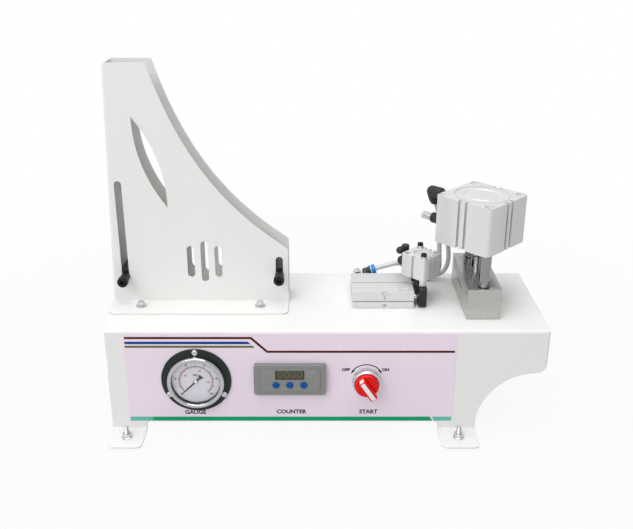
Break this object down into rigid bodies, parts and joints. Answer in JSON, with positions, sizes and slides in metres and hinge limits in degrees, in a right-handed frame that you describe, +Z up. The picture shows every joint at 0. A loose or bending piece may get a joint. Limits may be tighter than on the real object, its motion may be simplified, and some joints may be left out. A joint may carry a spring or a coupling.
{
  "type": "edge band punch",
  "caption": "Pneumatic bench punch that feeds edge band from a roll magazine and cuts round cover caps with a compact cylinder over a slit die block.",
  "frame": {"origin": "on the ground under the middle of the outline", "axes": "+X to the right as seen from the front panel, +Y towards the back, +Z up"},
  "size_m": [0.5296, 0.25, 0.44],
  "materials": {
    "painted_sheet": "white powder coat, satin",
    "overlay_film": "printed polyester film, lilac grey with coloured lines",
    "black_rubber": "moulded black rubber",
    "zinc_steel": "bright zinc plated",
    "gauge_paint": "green-black enamel",
    "chrome": "polished chrome plate",
    "dial_paint": "white printed dial",
    "needle_paint": "black needle",
    "gauge_glass": "clear flat glass",
    "grey_abs": "moulded grey ABS",
    "display_glass": "dark tinted display window",
    "blue_rubber": "moulded blue silicone",
    "red_plastic": "moulded glossy red",
    "black_oxide_steel": "black oxide",
    "black_plastic": "moulded black nylon",
    "anodised_aluminium": "hard anodised, satin",
    "black_aluminium": "black anodised",
    "ground_steel": "surface ground",
    "air_tube": "translucent grey polyurethane",
    "brass": "turned brass",
    "light_plastic": "moulded light grey nylon"
  },
  "bodies": {
    "root": {"base_cover": "painted_sheet", "panel_overlay": "overlay_film", "gauge_case": "gauge_paint", "gauge_bezel": "chrome", "gauge_dial": "dial_paint", "gauge_lens": "gauge_glass", "counter_housing": "grey_abs", "counter_display": "display_glass", "switch_bezel": "chrome", "switch_contact_block": "black_plastic", "magazine_shell": "painted_sheet", "magazine_bolt_left": "zinc_steel", "magazine_bolt_right": "zinc_steel", "feed_body": "anodised_aluminium", "feed_fitting": "black_plastic", "feed_port_plug": "zinc_steel", "die_block": "ground_steel", "guide_post_front": "ground_steel", "guide_post_rear": "ground_steel", "punch_body": "anodised_aluminium", "punch_elbow": "black_plastic", "flow_valve": "black_plastic", "tube_punch_upper": "air_tube", "tube_punch_lower": "air_tube", "tube_feed": "air_tube", "tube_grip": "air_tube", "tube_grommet": "black_rubber", "valve_island": "light_plastic", "air_inlet": "brass", "mains_gland": "black_plastic", "foot_pad_front_left": "black_rubber", "foot_stud_front_left": "zinc_steel", "foot_pad_front_right": "black_rubber", "foot_stud_front_right": "zinc_steel", "foot_pad_rear_left": "black_rubber", "foot_stud_rear_left": "zinc_steel", "foot_pad_rear_right": "black_rubber", "foot_stud_rear_right": "zinc_steel"},
    "feed_slide": {"feed_rod_front": "chrome", "feed_rod_rear": "chrome", "feed_plate": "black_aluminium", "grip_standoff_front": "anodised_aluminium", "grip_standoff_rear": "anodised_aluminium", "grip_body": "anodised_aluminium", "grip_screw_front": "black_oxide_steel", "grip_screw_rear": "black_oxide_steel", "grip_elbow": "black_plastic", "grip_silencer": "black_plastic"},
    "grip_plunger_body": {"grip_plunger": "black_plastic"},
    "punch_ram": {"punch_rod": "ground_steel"},
    "needle": {"gauge_needle": "needle_paint"},
    "selector_knob": {"switch_knob": "red_plastic"},
    "button_left": {"counter_button_left": "blue_rubber"},
    "button_middle": {"counter_button_middle": "blue_rubber"},
    "button_right": {"counter_button_right": "blue_rubber"},
    "valve_knob": {"flow_knob": "zinc_steel"},
    "pin_left": {"roll_pin_left": "black_oxide_steel"},
    "pin_right": {"roll_pin_right": "black_oxide_steel"},
    "sleeve_left": {"roll_sleeve_left": "black_plastic"},
    "sleeve_right": {"roll_sleeve_right": "black_plastic"}
  },
  "joints": [
    {"name": "punch_stroke", "type": "slide", "parent": "root", "child": "punch_ram", "axis": [0, 0, -1], "range_m": [0, 0.012]},
    {"name": "feed_stroke", "type": "slide", "parent": "root", "child": "feed_slide", "axis": [1, 0, 0], "range_m": [0, 0.02], "deforming": ["tube_grip"]},
    {"name": "grip_stroke", "type": "slide", "parent": "feed_slide", "child": "grip_plunger_body", "axis": [0, 0, -1], "range_m": [0, 0.0032], "stiffness_N_per_m": 300, "springref_m": -0.004},
    {"name": "needle_turn", "type": "hinge", "parent": "root", "child": "needle", "pos_m": [-0.15425, -0.088, 0.0765], "axis": [0, 1, 0], "range_deg": [0, 270], "stiffness_Nm_per_rad": 0.003, "springref_deg": -11.46},
    {"name": "selector_turn", "type": "hinge", "parent": "root", "child": "selector_knob", "pos_m": [0.04945, -0.095, 0.0765], "axis": [0, 1, 0], "range_deg": [0, 68]},
    {"name": "button_left_press", "type": "slide", "parent": "root", "child": "button_left", "axis": [0, 1, 0], "range_m": [0, 0.001], "stiffness_N_per_m": 600, "springref_m": -0.0008},
    {"name": "button_middle_press", "type": "slide", "parent": "root", "child": "button_middle", "axis": [0, 1, 0], "range_m": [0, 0.001], "stiffness_N_per_m": 600, "springref_m": -0.0008},
    {"name": "button_right_press", "type": "slide", "parent": "root", "child": "button_right", "axis": [0, 1, 0], "range_m": [0, 0.001], "stiffness_N_per_m": 600, "springref_m": -0.0008},
    {"name": "flow_knob_turn", "type": "hinge", "parent": "root", "child": "valve_knob", "pos_m": [0.13025, 0.0626, 0.2335], "axis": [-0.7071, 0.7071, 0], "continuous": true},
    {"name": "pin_left_slide", "type": "slide", "parent": "root", "child": "pin_left", "axis": [0, 0, 1], "range_m": [0, 0.119]},
    {"name": "pin_right_slide", "type": "slide", "parent": "root", "child": "pin_right", "axis": [0, 0, 1], "range_m": [0, 0.0196]},
    {"name": "sleeve_left_spin", "type": "hinge", "parent": "pin_left", "child": "sleeve_left", "pos_m": [-0.24725, 0.012, 0.1775], "axis": [0, 1, 0], "continuous": true},
    {"name": "sleeve_right_spin", "type": "hinge", "parent": "pin_right", "child": "sleeve_right", "pos_m": [-0.05625, 0.012, 0.1795], "axis": [0, 1, 0], "continuous": true}
  ]
}
